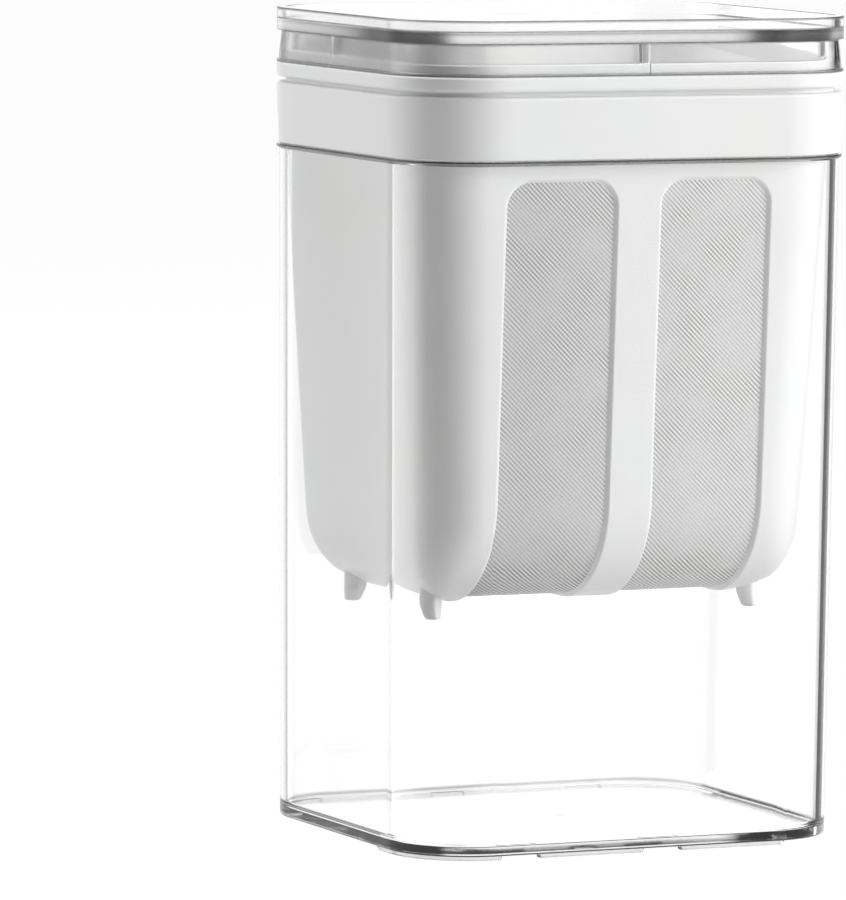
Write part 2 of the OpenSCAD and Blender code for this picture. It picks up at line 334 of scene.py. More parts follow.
def wovenMesh():
    # polyester filter cloth in a fine twill: silver-grey with slanted rows of knuckles, painted
    # white on top as highlight and dark between as shade, that fade into plain grey in soft
    # patches.
    # Height = sine across the lines + share * sine along them
    w = weave
    material, tree = newMaterial("silver_polyester_twill")
    flat = addNode(tree, "UVMap", {"uv_map": "cloth"}).outputs[0]
    angle = math.radians(w["lineAngle"])
    along = (math.cos(angle), math.sin(angle))

    def wave(direction, pitch):
        scale = 2 * math.pi / (pitch * mm)
        turns = (direction[0] * scale, direction[1] * scale, 0)
        dot = addNode(tree, "VectorMath", {"operation": "DOT_PRODUCT", 1: turns}, {0: flat})
        return addNode(tree, "Math", {"operation": "SINE"}, {0: dot.outputs["Value"]})

    lines = wave((along[1], -along[0]), w["linePitch"])
    beads = wave(along, w["beadPitch"])
    beaded = addNode(tree, "Math", {"operation": "MULTIPLY_ADD", 1: w["beadShare"]},
                     {0: beads.outputs[0], 2: lines.outputs[0]})
    height = addNode(tree, "MapRange", {"From Min": -w["swing"], "From Max": w["swing"]},
                     {"Value": beaded.outputs[0]})
    patches = addNode(tree, "TexNoise", {"Scale": noiseScale(w["patchSize"])},
                      {"Vector": flat})
    fade = addNode(tree, "MapRange", {
        "From Min": w["patch"][0], "From Max": w["patch"][1], "To Min": w["patchLeast"]},
        {"Value": patches.outputs["Fac"]})
    # painted highlight and shade: white on the thread tops, dark between them
    threadLightAndShade = addNode(tree, "Mix", {
        "data_type": "RGBA", 6: hexToLinear(w["dark"]), 7: hexToLinear(w["light"])},
        {0: height.outputs["Result"]})
    # painted thread highlight and shade: faint above the bend, boldest round it
    parts = addNode(tree, "SeparateXYZ", {}, {0: flat})
    past = addNode(tree, "Math", {"operation": "SUBTRACT", 1: w["middle"] * mm},
                   {0: parts.outputs["Y"]})
    fromFloor = addNode(tree, "Math", {"operation": "ABSOLUTE"}, {0: past.outputs[0]})
    reach = addNode(tree, "MapRange", {"From Max": w["reach"] * mm},
                    {"Value": fromFloor.outputs[0]})
    bold = addNode(tree, "FloatCurve", {}, {"Value": reach.outputs["Result"]})
    curve = bold.mapping.curves[0]
    curve.points[0].location, curve.points[1].location = w["boldEnds"]
    for x, y in w["bold"]:
        curve.points.new(x, y)
    bold.mapping.update()
    share = addNode(tree, "Math", {"operation": "MULTIPLY", "use_clamp": True},
                    {0: fade.outputs["Result"], 1: bold.outputs[0]})
    shown = addNode(tree, "Math", {"operation": "MULTIPLY", 1: w["contrast"], "use_clamp": True},
                    {0: share.outputs[0]})
    cover = addNode(tree, "Mix", {"data_type": "RGBA", 6: hexToLinear(w["plain"])},
                    {0: shown.outputs[0], 7: threadLightAndShade.outputs[2]})
    # painted shade and light: the cloth darker on the left and lighter on the right
    place = addNode(tree, "TexCoord").outputs["Object"]
    across = addNode(tree, "SeparateXYZ", {}, {0: place})
    paintedLightScale = addNode(tree, "MapRange", {
        "From Min": w["paintedLightRun"][0] * mm, "From Max": w["paintedLightRun"][1] * mm,
        "To Min": w["paintedLightScale"][0], "To Max": w["paintedLightScale"][1]}, {"Value": across.outputs["X"]})
    colour = addNode(tree, "VectorMath", {"operation": "SCALE"},
                     {0: cover.outputs[2], "Scale": paintedLightScale.outputs["Result"]})
    bump = addNode(tree, "Bump", {
        "Strength": w["threadStrength"], "Distance": w["threadDepth"] * mm},
        {"Height": height.outputs["Result"]})
    skin = addNode(tree, "BsdfPrincipled", {"Roughness": w["roughness"]},
                   {"Base Color": colour.outputs[0], "Normal": bump.outputs["Normal"]})
    addNode(tree, "OutputMaterial", {}, {"Surface": skin.outputs[0]})
    return material


# painted shade: an edge's grey is given darker than it looks, for the plastic takes its square root
# each time
# painted shade on the container: a grey band round the base, a black line at the rim's lip for the
# shadow gap under the collar, and on the inside dark rings at the gate mark and just above the
# floor
clearBody = clearPlastic("clear_san_moulded_container", {
    "outside": ((0.0, "#DADADA"), (3.0, "#E0E0E0"), (4.4, "#FFFFFF"), (166.8, "#FFFFFF"),
                (167.0, "#040404")),
    "left": ((0.0, "#D0D0D0"), (3.0, "#D8D8D8"), (4.4, "#FFFFFF"), (166.8, "#FFFFFF"),
             (167.0, "#040404")),
    "inside": ((1.05, "#FFFFFF"), (1.12, "#202020"), (1.55, "#202020"), (1.62, "#FFFFFF"),
               (3.15, "#FFFFFF"), (3.3, "#585858"), (3.9, "#585858"), (4.1, "#FFFFFF"))})
# painted shade on the lid: a dark line at the skirt's foot, black lines under and over the plate's
# edge band, a grey plate band and a black top edge, all darker on the left side
clearLid = clearPlastic("clear_san_moulded_lid", {
    "outside": ((187.5, "#707070"), (188.1, "#909090"), (188.5, "#F0F0F0"), (190.4, "#F0F0F0"),
                (190.8, "#FFFFFF"), (194.9, "#FFFFFF"), (195.3, "#404040"), (195.7, "#B8B8B8"),
                (197.7, "#C8C8C8"), (197.9, "#303030"), (198.3, "#FAFAFA"), (200.3, "#FAFAFA"),
                (200.5, "#040404")),
    "left": ((187.5, "#606060"), (188.1, "#808080"), (188.5, "#C8C8C8"), (194.9, "#D4D4D4"),
             (195.3, "#202020"), (195.7, "#282828"), (197.7, "#343434"), (197.9, "#101010"),
             (198.3, "#E8E8E8"), (200.3, "#E8E8E8"), (200.5, "#030303")),
    "inside": ((0.0, "#FFFFFF"), (201.0, "#FFFFFF"))}, edgeRough=0.25)
white, cloth = whitePlastic(), wovenMesh()
print("materials made")

container = {
    "wallInsetTop": 0.8, "wallInsetBase": 2.2, "wall": 2.1,
    "base": 1.0, "baseBevel": 0.8, "floor": 3.0, "fillet": 2.0,
    "rim": 167.5, "rimRound": 0.25,
    "lipStart": 166.4, "lipFoot": 166.75, "lipInset": 0.1, "lipRound": 0.2, "lipFootRound": 0.15,
    "underRing": 18.0, "floorRing": 14.0,  # where underside and floor go on as flat rings
    "gateMiddle": 0.6, "gateRadius": 3.9, "gateEdge": 1.5, "gateDepth": 0.65, "gateRound": 0.08,
    "footInset": 3.2, "footWidth": 2.4, "footDraft": 0.04, "footRound": 0.2,
    "footRootIn": 0.1, "footRootOut": 0.03,
    "footGaps": (-36.25, -25.95, 1.55, 11.85),  # the front's two gaps, each from x to x
    "footEnd": 39.35, "footSide": 22.4,  # the side's gap lies past this x and up to this y
    "footSlope": 0.12, "footTurn": 0.4,
}


def wallInset(z):
    # the outer wall leans in evenly from the rim down to the base
    c = container
    lean = c["wallInsetBase"] - c["wallInsetTop"]
    return c["wallInsetTop"] + lean * (c["rim"] - z) / (c["rim"] - c["base"])


def footShare(x, y):
    # 1 on the foot ring and 0 in its gaps, with a short slope between them: 0.5 - depth in the
    # gap / (2 * slope). The back half is the front turned
    c = container
    front = np.where(y < 0, x, -x)
    inGap = np.maximum.reduce([
        np.minimum(front - c["footGaps"][0], c["footGaps"][1] - front),
        np.minimum(front - c["footGaps"][2], c["footGaps"][3] - front),
        np.minimum(x - c["footEnd"], c["footSide"] - y),
        np.minimum(-x - c["footEnd"], c["footSide"] + y)])
    return np.clip(0.5 - inGap / (2 * c["footSlope"]), 0, 1)


def makeContainer():
    # one profile, from the underside out over the foot ring, up the wall, round the rim and down
    # inside to the floor, goes round the outline. In the foot's gaps its points rise to the base
    c = container
    base, rim, floor, draft = c["base"], c["rim"], c["floor"], c["footDraft"]
    footOut, footIn = c["footInset"], c["footInset"] + c["footWidth"]
    profile = roundProfile([
        (c["underRing"], base, 0), (footIn + draft, base, c["footRootIn"]),
        (footIn - draft, 0.0, c["footRound"]), (footOut + draft, 0.0, c["footRound"]),
        (footOut - draft, base, c["footRootOut"]), (wallInset(base), base, c["baseBevel"]),
        (wallInset(c["lipStart"]), c["lipStart"], c["lipRound"]),
        (c["lipInset"], c["lipFoot"], c["lipFootRound"]), (c["lipInset"], rim, c["lipRound"]),
        (wallInset(rim) + c["wall"], rim, c["rimRound"]),
        (wallInset(floor) + c["wall"], floor, c["fillet"]),
        (c["floorRing"], floor, 0)], steps=5)
    side, bit = c["footSlope"], c["footTurn"]
    gaps = [g * s + d for g in c["footGaps"] for s in (-1, 1) for d in (-side, 0, side)]
    ends = [c["footSide"] * s + d for s in (-1, 1) for d in (-side, 0, side)]
    footRadius = outline["cornerRadius"] - (footOut + footIn) / 2
    turn = math.degrees(math.asin((c["footEnd"] - coreX) / footRadius))
    turns = [t + d for t in (turn, 90 - turn) for d in (-bit, 0, bit)]
    core, way = outlineColumns(gaps, ends, turns)
    foot = footShare(*(core + footRadius * way).T)
    insets = np.repeat(profile[:, :1], len(core), 1)
    heights = np.repeat(profile[:, 1:], len(core), 1)
    heights = np.where(heights < base, base + (heights - base) * foot[None], heights)
    rings = outlineRings(core, way, insets, heights)
    # the gate mark's round rings, at the same angles as the outline's columns
    angle = np.arctan2(*(core + way).T[::-1])
    ceiling = base + c["gateDepth"]
    gate = roundProfile([
        (c["gateMiddle"], ceiling, 0), (c["gateRadius"], ceiling, c["gateRound"]),
        (c["gateRadius"], base, c["gateRound"]), (c["gateRadius"] + c["gateEdge"], base, 0)],
        steps=3, support=0.03)
    radius, height = gate[:, :1], gate[:, 1:]
    mark = np.stack([radius * np.cos(angle), radius * np.sin(angle), height + 0 * angle], -1)
    return closedLoft(np.concatenate([mark, rings]))


points, faces = makeContainer()
containerShell = makePiece("container_shell", points, faces, clearBody, "container")
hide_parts("container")

lid = {
    "under": 195.4, "underRing": 16.0, "underRound": 0.4,
    "plugFoot": 185.2, "plugOut": 4.2, "plugIn": 5.4, "plugRound": 0.25, "ceilingRound": 0.3,
    "skirtIn": 2.0, "skirtFoot": 187.5, "skirtRound": 0.2, "skirtTopInset": 1.2,
    "lipHeight": 0.8, "flare": 0.45, "flareRound": 0.1,
    "top": 201.0, "rimWidth": 2.2, "rimRound": 0.3,
    "plate": 198.1, "plateRing": 14.0, "plateRound": 0.4,  # it lies sunk inside the raised rim
    "ribFoot": 190.4, "ribGuide": 2.35, "ribHalf": 1.0, "ribSlope": 0.05,
    "ribShiftX": -0.8, "ribShiftY": 4.2,  # of the front and left ribs: the others are turned
}


def lidSection(ceiling, guide):
    # from the plate's underside down the plug ring, up to the ceiling between ring and skirt, down
    # to the skirt's lip, up outside to the rim and in to the sunk plate
    c = lid
    lipTop = c["skirtFoot"] + c["lipHeight"]
    return roundProfile([
        (c["underRing"], c["under"], 0), (c["plugIn"], c["under"], c["underRound"]),
        (c["plugIn"], c["plugFoot"], c["plugRound"]), (c["plugOut"], c["plugFoot"], c["plugRound"]),
        (c["plugOut"], ceiling, c["ceilingRound"]), (guide, ceiling, c["ceilingRound"]),
        (guide, c["skirtFoot"], c["skirtRound"]), (0.0, c["skirtFoot"], c["skirtRound"]),
        (0.0, lipTop, c["skirtRound"]), (c["flare"], lipTop, c["flareRound"]),
        (c["skirtTopInset"], c["under"], c["skirtRound"]), (0.0, c["under"], c["skirtRound"]),
        (0.0, c["top"], c["rimRound"]), (c["rimWidth"], c["top"], c["rimRound"]),
        (c["rimWidth"], c["plate"], c["plateRound"]), (c["plateRing"], c["plate"], 0)])


def makeLid():
    # the section goes round the outline, and at the rib in each side it blends over a short slope
    # into one whose ceiling comes down: share = 0.5 - (distance - half width) / (2 * slope)
    c = lid
    plain = lidSection(c["under"], c["skirtIn"])
    ribbed = lidSection(c["ribFoot"], c["ribGuide"])
    side, nearlyOne = c["ribSlope"], 0.999
    edges = np.array([s * c["ribHalf"] + d for s in (-1, 1) for d in (-side, 0, side)] + [0.0])
    core, way = outlineColumns(edges + c["ribShiftX"], edges - c["ribShiftY"])
    along = np.abs(np.where(np.abs(way[:, 1]) > nearlyOne, core[:, 0] + way[:, 1] * c["ribShiftX"],
                            core[:, 1] + way[:, 0] * c["ribShiftY"]))
    straight = np.abs(way).max(1) > nearlyOne
    rib = np.where(straight, np.clip(0.5 - (along - c["ribHalf"]) / (2 * side), 0, 1), 0)
    insets = plain[:, :1] + (ribbed - plain)[:, :1] * rib[None]
    heights = plain[:, 1:] + (ribbed - plain)[:, 1:] * rib[None]
    return closedLoft(outlineRings(core, way, insets, heights))


points, faces = makeLid()
lidShell = makePiece("lid_shell", points, faces, clearLid, "lid")
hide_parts("lid")

basket = {
    "halfWidth": 56.3, "halfDepth": 46.0, "cornerRadius": 15.0, "draft": 0.048, "rim": 167.5,
    "floor": 59.0, "bend": 25.4, "sideBend": 17.0, "floorCorner": 4.0, "wall": 1.6,
    "flatTo": 36.2,  # the front's even columns end this far from the middle
    "skip": 1.1,  # mm at the bottom of the bend that are left to the floor's grid
    "windowMid": 20.45, "windowHalf": 14.1, "windowTop": 162.0, "windowRadius": 6.0,
    "bevel": 0.95, "bevelDepth": 1.0, "bevelSoft": 0.2,
    "webOut": 1.25, "webSlopeOut": 0.2, "webIn": 0.3, "webSlopeIn": 0.4,
    "clothDepth": 1.0, "clothThickness": 0.5, "clothTuck": 0.3,
}


def bendIn(radius, drop):
    # a quarter bend takes its wall in by radius - sqrt(radius^2 - drop^2)
    drop = np.clip(drop, 0, radius)
    return radius - np.sqrt(radius ** 2 - drop ** 2)


def basketLevel(inset, z):
    # half width, half depth and corner radius at a height: the walls taper by the draft, and the
    # side and front bends take them in further near the floor
    b = basket
    taper = b["draft"] * (b["rim"] - z) + inset
    xIn = bendIn(b["sideBend"] - inset, b["floor"] + b["sideBend"] - z)
    yIn = bendIn(b["bend"] - inset, b["floor"] + b["bend"] - z)
    radius = np.maximum(b["floorCorner"] - inset, b["cornerRadius"] - inset - yIn)
    return b["halfWidth"] - taper - xIn, b["halfDepth"] - taper - yIn, radius


def basketSlope(inset, z):
    # how fast the half depth grows with height: the draft, and drop / sqrt(radius^2 - drop^2) in
    # the bend
    b = basket
    radius = b["bend"] - inset
    drop = np.clip(b["floor"] + b["bend"] - z, 0, radius - 1e-3)
    return b["draft"] + drop / np.sqrt(radius ** 2 - drop ** 2)


def windowDistance(x, z):
    # distance to a window's rounded outline, less than 0 inside it: hypot(reach, rise) - radius
    # at its corners. The windows run on down without end
    b = basket
    reach = np.abs(np.abs(x) - b["windowMid"]) - (b["windowHalf"] - b["windowRadius"])
    rise = z - (b["windowTop"] - b["windowRadius"])
    outside = np.hypot(np.maximum(reach, 0), np.maximum(rise, 0))
    return outside + np.minimum(np.maximum(reach, rise), 0) - b["windowRadius"]


def outsideDepth(distance):
    # a chamfer with a soft start, (sqrt(t^2 + k^2) - k) from the face down to the window's edge,
    # then the thin web under the cloth
    b = basket
    t = np.clip((b["bevel"] - distance) / b["bevel"], 0, 1)
    k = b["bevelSoft"]
    bevel = b["bevelDepth"] * (np.sqrt(t ** 2 + k ** 2) - k) / (math.sqrt(1 + k ** 2) - k)
    return bevel + (b["webOut"] - b["bevelDepth"]) * np.clip(-distance / b["webSlopeOut"], 0, 1)


def insideDepth(distance):
    # the web stands a little proud of the inside: -height * (0.5 - distance / slope)
    return -basket["webIn"] * np.clip(0.5 - distance / basket["webSlopeIn"], 0, 1)


def strainerColumns():
    # x of the front's columns: close over the chamfers and the windows' corners, wide elsewhere
    half = np.concatenate([
        [0, 2.2, 4.2], np.arange(4.75, 6.8, 0.17), np.arange(7.0, 12.9, 0.38),
        np.linspace(14, 27, 5), np.arange(28.1, 34.1, 0.38), np.arange(34.2, 36.1, 0.17),
        [basket["flatTo"]]])
    return np.concatenate([-half[:0:-1], half])


frontX = strainerColumns()
sideTurns = np.radians(np.linspace(0, 90, 13))
sideShares = np.linspace(0, 1, 9)


def strainerRing(halfX, halfY, radius):
    # front columns stay at fixed x, the side goes round both corners, and the back half is the
    # front turned
    halfX, halfY, radius = (np.atleast_1d(v)[:, None] for v in (halfX, halfY, radius))
    inX, inY = halfX - radius, halfY - radius
    front = np.stack(np.broadcast_arrays(frontX[None], -halfY), -1)
    flat = basket["flatTo"] + 0.5 * (inX - basket["flatTo"])
    up, down = sideTurns[None], sideTurns[None, ::-1]
    side = np.concatenate([
        np.stack(np.broadcast_arrays(flat, -halfY), -1),
        np.stack([inX + radius * np.sin(up), -inY - radius * np.cos(up)], -1),
        np.stack(np.broadcast_arrays(halfX, inY * (2 * sideShares[None, 1:-1] - 1)), -1),
        np.stack([inX + radius * np.sin(down), inY + radius * np.cos(down)], -1),
        np.stack(np.broadcast_arrays(flat, halfY), -1)], 1)
    return np.concatenate([front, side, -front, -side], 1)


def basketWall(inset, heights, depthOf):
    # one wall surface of the basket with its windows pressed in along the wall's own inward
    # direction, (1, slope) / sqrt(1 + slope^2) in y and z
    flat = strainerRing(*basketLevel(inset, heights))
    up = np.broadcast_to(heights[:, None, None], flat.shape[:2] + (1,))
    rings = np.concatenate([flat, up], -1)
    slope = basketSlope(inset, heights)[:, None]
    norm = np.sqrt(1 + slope ** 2)
    depth = depthOf(windowDistance(frontX[None], heights[:, None]))
    n, m = len(frontX), flat.shape[1] // 2
    rings[:, :n, 1] += depth / norm
    rings[:, m:m + n, 1] -= depth / norm
    for first in (0, m):
        rings[:, first:first + n, 2] += depth * slope / norm
    return rings


def basketFloor(inset, ring, depthOf):
    # the floor between the lowest ring's sides: height = floor + R - sqrt(R^2 - (|y| - flat)^2)
    # over each bend, with the windows pressed in along its own normal
    b = basket
    n, m = len(frontX), ring.shape[0] // 2
    right, left = ring[n:m], ring[m + n:][::-1]
    rows, extra = len(right) + 2, 3
    bottom = b["floor"] + inset
    flatX, flatY, _ = basketLevel(inset, np.array(bottom))
    bendY, bendX = b["bend"] - inset, b["sideBend"] - inset
    grid = np.zeros((rows, n + 2 * extra, 3))
    share = np.arange(1, extra + 1) / extra
    grid[1:-1, extra:-extra, 0] = frontX
    grid[1:-1, -extra:, 0] = b["flatTo"] + (right[:, :1] - b["flatTo"]) * share
    grid[1:-1, :extra, 0] = -grid[1:-1, -extra:, 0][:, ::-1]
    grid[1:-1, :, 1] = right[:, 1][:, None]
    over = np.clip(np.abs(grid[..., 1]) - flatY, 0, bendY - 1e-6)
    overX = np.clip(np.abs(grid[..., 0]) - flatX, 0, bendX - 1e-6)
    grid[..., 2] = bottom + np.maximum(bendIn(bendX, overX), bendIn(bendY, over))
    depth = depthOf(windowDistance(grid[..., 0], 0 * grid[..., 0]))
    lean = over / bendY
    grid[..., 1] -= np.sign(grid[..., 1]) * lean * depth
    grid[..., 2] += np.sqrt(1 - lean ** 2) * depth
    for row, edge in ((0, ring[:n]), (-1, ring[m:m + n][::-1])):
        grid[row] = np.concatenate([
            np.repeat(edge[:1], extra, 0), edge, np.repeat(edge[-1:], extra, 0)])
    grid[1:-1, -1], grid[1:-1, 0] = right, left
    return grid


collar = {
    "start": 174.0, "web": 181.2, "webRound": 0.3,  # the ceiling between apron and basket
    "foot": 167.7, "footRounds": (0.25, 0.35), "apronIn": 2.3, "draw": 0.7,
    "top": 182.8, "topRound": 0.8, "grooveIn": 2.3, "grooveTop": 183.9, "grooveRound": 0.2,
    "bandTop": 187.3, "bandRounds": (1.0, 0.35),
    "neckOut": 2.6, "neckIn": 3.9, "neckTop": 190.2, "neckRound": 0.35,
}


def collarProfile():
    # from the ceiling down the apron's inside, round its foot, up over collar, groove and band to
    # the neck, and down inside to the basket's wall
    c = collar
    return roundProfile([
        (c["neckOut"], c["start"], 0), (c["neckOut"], c["web"], c["webRound"]),
        (c["apronIn"], c["web"], 0), (c["apronIn"], c["foot"], c["footRounds"][0]),
        (c["draw"], c["foot"], c["footRounds"][1]), (0.0, c["top"], c["topRound"]),
        (c["grooveIn"], c["top"], c["grooveRound"]),
        (c["grooveIn"], c["grooveTop"], c["grooveRound"]),
        (0.0, c["grooveTop"], c["bandRounds"][0]), (0.0, c["bandTop"], c["bandRounds"][1]),
        (c["neckOut"], c["bandTop"], c["grooveRound"]),
        (c["neckOut"], c["neckTop"], c["neckRound"]), (c["neckIn"], c["neckTop"], c["neckRound"]),
        (c["neckIn"], c["web"], 0)], support=0.06)[1:]


def bendHeights(inset, steps):
    # even turns round the bend: height = its centre - radius * sin(turn)
    radius = basket["bend"] - inset
    turn = np.linspace(math.asin(1 - basket["skip"] / radius), 0, steps)
    return basket["floor"] + basket["bend"] - radius * np.sin(turn)


def makeStrainer():
    # outer wall, collar and inner wall are one loft, and a grid closes each floor. The rows lie
    # close together over the windows' rounded tops
    inner, rim = basket["wall"], basket["rim"]
    outHeights = np.concatenate([
        bendHeights(0.0, 22), np.arange(91, 155, 9.0), np.arange(155.4, 163.9, 0.28),
        [164.6, 166.0, rim]])
    inHeights = np.concatenate([
        bendHeights(inner, 16), np.arange(95, 155, 12.0), np.arange(155.4, 163, 0.5), [165.0, rim]])
    outWall = basketWall(0.0, outHeights, outsideDepth)
    inWall = basketWall(inner, inHeights, insideDepth)[::-1]
    profile = collarProfile()
    halves = (outline[k] - profile[:, 0] for k in ("halfWidth", "halfDepth", "cornerRadius"))
    flat = strainerRing(*halves)
    up = np.broadcast_to(profile[:, 1, None, None], flat.shape[:2] + (1,))
    rings = np.concatenate([outWall, np.concatenate([flat, up], -1), inWall])
    points, faces = [rings.reshape(-1, 3)], [loftFaces(*rings.shape[:2])]
    for inset, ring, depthOf, flip in (
            (0.0, outWall[0], outsideDepth, True), (inner, inWall[-1], insideDepth, False)):
        grid = basketFloor(inset, ring, depthOf)
        faces.append(gridFaces(*grid.shape[:2], start=sum(len(p) for p in points), flip=flip))
        points.append(grid.reshape(-1, 3))
    return np.concatenate(points), np.concatenate(faces).tolist()


points, faces = makeStrainer()
strainerShell = makePiece("strainer_shell", points, faces, white, "strainer",
                          sharpAngle=48)
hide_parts("strainer_frame")

feet = {
    "rootX": 42.6, "rootY": 20.6, "lean": 1.6, "tip": 55.4, "rootHalf": 3.0, "tipHalf": 2.1,
    "power": 1.35, "columns": 40,
    "tipRound": 0.9, "tipFlat": 0.55,  # the flat end's share of the tip's width
    "sink": 0.7, "rowGap": 0.1,  # mm that the root goes into the basket, and least row distance
}


def makeFeet():
    # each foot is a soft diamond, |x|^p + |y|^p = half^p, that narrows and leans out towards its
    # tip, which is rounded by sqrt(1 - (1 - rise / round)^2)
    f, b, p = feet, basket, feet["power"]
    rise = np.concatenate([
        f["tipRound"] * (1 - np.cos(np.linspace(0.25, 1, 7) * math.pi / 2)),
        np.linspace(1.4, 5.4, 6)])
    arc = np.sqrt(np.clip(1 - (1 - rise / f["tipRound"]) ** 2, 0, 1))
    shrink = np.where(rise >= f["tipRound"], 1, arc * (1 - f["tipFlat"]) + f["tipFlat"])
    share = np.clip(rise / (b["floor"] - f["tip"]), 0, 1)
    half = (f["tipHalf"] + (f["rootHalf"] - f["tipHalf"]) * share) * shrink
    angle = np.linspace(0, 2 * math.pi, f["columns"], endpoint=False)
    unit = (np.abs(np.cos(angle)) ** p + np.abs(np.sin(angle)) ** p) ** (-1 / p)
    flatX, flatY, _ = basketLevel(0.0, np.array(b["floor"]))
    points, faces = [], []
    for sideX, sideY in ((-1, -1), (-1, 1), (1, -1), (1, 1)):
        x = sideX * f["rootX"] + half[:, None] * unit * np.cos(angle)
        middle = sideY * (f["rootY"] + f["lean"] * (1 - share[:, None]))
        y = middle + half[:, None] * unit * np.sin(angle)
        z = np.repeat((f["tip"] + rise)[:, None], len(angle), 1)
        # the root follows the basket's bends, and the rows under it stay below it
        riseX = bendIn(b["sideBend"], np.clip(np.abs(x[-1]) - flatX, 0, 16))
        riseY = bendIn(b["bend"], np.clip(np.abs(y[-1]) - flatY, 0, 25))
        z[-1] = b["floor"] + np.maximum(riseX, riseY) + f["sink"]
        z[-6:-1] = np.minimum(z[-6:-1], z[-1] - f["rowGap"] * np.arange(5, 0, -1)[:, None])
        loft, quads = closedLoft(np.stack([x, y, z], -1))
        start = sum(len(q) for q in points)
        faces += [[i + start for i in face] for face in quads]
        points.append(loft)
    return np.concatenate(points), faces


points, faces = makeFeet()
makePiece("strainer_feet", points, faces, white, "strainer", sharpAngle=60)


def makeCloth(side):
    # one strip follows the basket's section down the front, under the floor and up the back, as an
    # outer and an inner sheet joined round their border. Its flat place is x across, and along it
    # the length of its middle line, corrected by each row's rise at the rounded top
    b = basket
    top, radius, half = (b[k] + b["clothTuck"] for k in ("windowTop", "windowRadius", "windowHalf"))
    edge = np.concatenate([[0, 0.1, 0.2, 0.3, 0.45, 0.6, 0.8], np.arange(1.1, 6.4, 0.4)])
    across = np.concatenate([edge - half, np.linspace(-7, 7, 9), (half - edge)[::-1]])
    reach = np.maximum(np.abs(across) - (half - radius), 0)
    crown = top - radius + np.sqrt(np.maximum(radius ** 2 - reach ** 2, 0))
    shares = np.concatenate([[0, 0.0015, 0.003, 0.005, 0.008, 0.012], np.linspace(0.02, 1, 26)])
    turn = np.linspace(0, math.pi / 2, 24)[1:]
    start = b["floor"] + b["bend"]
    surfaces = []
    for inset in (b["clothDepth"], b["clothDepth"] + b["clothThickness"]):
        z = crown[None] + (start - crown[None]) * shares[:, None]
        _, flatY, _ = basketLevel(inset, z)
        wall = np.stack([np.broadcast_to(across, z.shape), -flatY, z], -1)
        zBend = start - (b["bend"] - inset) * np.sin(turn)
        _, yBend, _ = basketLevel(inset, zBend)
        curve = np.stack(
            np.broadcast_arrays(across[None], -yBend[:, None], zBend[:, None]), -1)
        front = np.concatenate([wall, curve])
        surface = np.concatenate([front, front[::-1] * np.array([1, -1, 1])])
        surface[..., 0] += side * b["windowMid"]
        surfaces.append(surface)
    outer = surfaces[0]
    rows, columns = outer.shape[:2]
    count = rows * columns
    index = np.arange(count).reshape(rows, columns)
    border = np.concatenate([index[0], index[1:, -1], index[-1, -2::-1], index[-2:0:-1, 0]])
    following = np.roll(border, -1)
    walls = np.stack([border, border + count, following + count, following], -1)
    faces = np.concatenate([
        gridFaces(rows, columns, flip=True), gridFaces(rows, columns, start=count), walls])
    middle = outer[:, columns // 2]
    steps = np.linalg.norm(np.diff(middle, axis=0), axis=-1)
    length = np.concatenate([[0], np.cumsum(steps)])
    sign = np.where(np.arange(rows)[:, None] < rows // 2, -1, 1)
    v = length[:, None] + sign * (outer[..., 2] - middle[:, 2][:, None])
    flat = np.tile(np.stack([outer[..., 0].ravel(), v.ravel()], -1), (2, 1))
    points = np.concatenate([surface.reshape(-1, 3) for surface in surfaces])
    return points, faces, flat


for side, node in ((-1, "mesh_left"), (1, "mesh_right")):
    points, faces, flat = makeCloth(side)
    name = node.replace("mesh", "cloth")
    mesh = bpy.data.meshes.new(name)
    mesh.from_pydata((points * mm).tolist(), [], faces.tolist())
    mesh.update()
    corner = np.zeros(len(mesh.loops), np.int32)
    mesh.loops.foreach_get("vertex_index", corner)
    layer = mesh.uv_layers.new(name="cloth")
    layer.data.foreach_set("uv", (flat * mm)[corner].astype(np.float32).ravel())
    mesh.materials.append(cloth)
    mesh.shade_smooth()
    mesh.set_sharp_from_angle(angle=math.radians(50))
    strip = bpy.data.objects.new(name, mesh)
    bpy.context.scene.collection.objects.link(strip)
    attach(strip, "strainer")
    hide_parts(node)
    print("made", name)

studio = {
    "floorHalf": 14.0,  # metres
    "floorGlow": 0.965,
    "floorPaper": "#484848",
    "floorBounce": "#D8D8D8",
    "wallFill": 0.03,
    "skyFill": 0.22,
    "skyFrom": 0.35, "skyTo": 0.9,  # a direction's height where the ceiling starts and is full
    # degrees from +Y towards +X, and how bright that side of the tent is in a reflection
    "mirrored": ((-180, 1.2), (-168, 0.4), (-150, 0.0), (-92, 0.0), (-72, 2.2), (-24.24, 2.2),
                 (-24.2, 0.3), (-24.0, 0.3), (-23.97, 0.15), (-15, 0.4), (5, 1.1), (85, 1.2),
                 (110, 2.4), (152.6, 2.9), (155, 2.0), (168, 1.6)),
    "brightest": 3.0,
    "seenThrough": 1.04,  # white, and a little more for what two clear walls take away
    # degrees from +Y towards +X where a dark card stands, seen in reflections
    "flagFrom": 50.0, "flagTo": 77.0, "flagSoft": 5.0, "flagLevel": 0.02,
    "bounces": 24,
}


def seenRays(tree):
    # 1 where the camera looks, straight, in a reflection or through the clear plastic
    path = addNode(tree, "LightPath")
    first = addNode(tree, "Math", {"operation": "MAXIMUM"},
                    {0: path.outputs["Is Camera Ray"], 1: path.outputs["Is Transmission Ray"]})
    both = addNode(tree, "Math", {"operation": "MAXIMUM"},
                   {0: first.outputs[0], 1: path.outputs["Is Glossy Ray"]})
    return both.outputs[0]


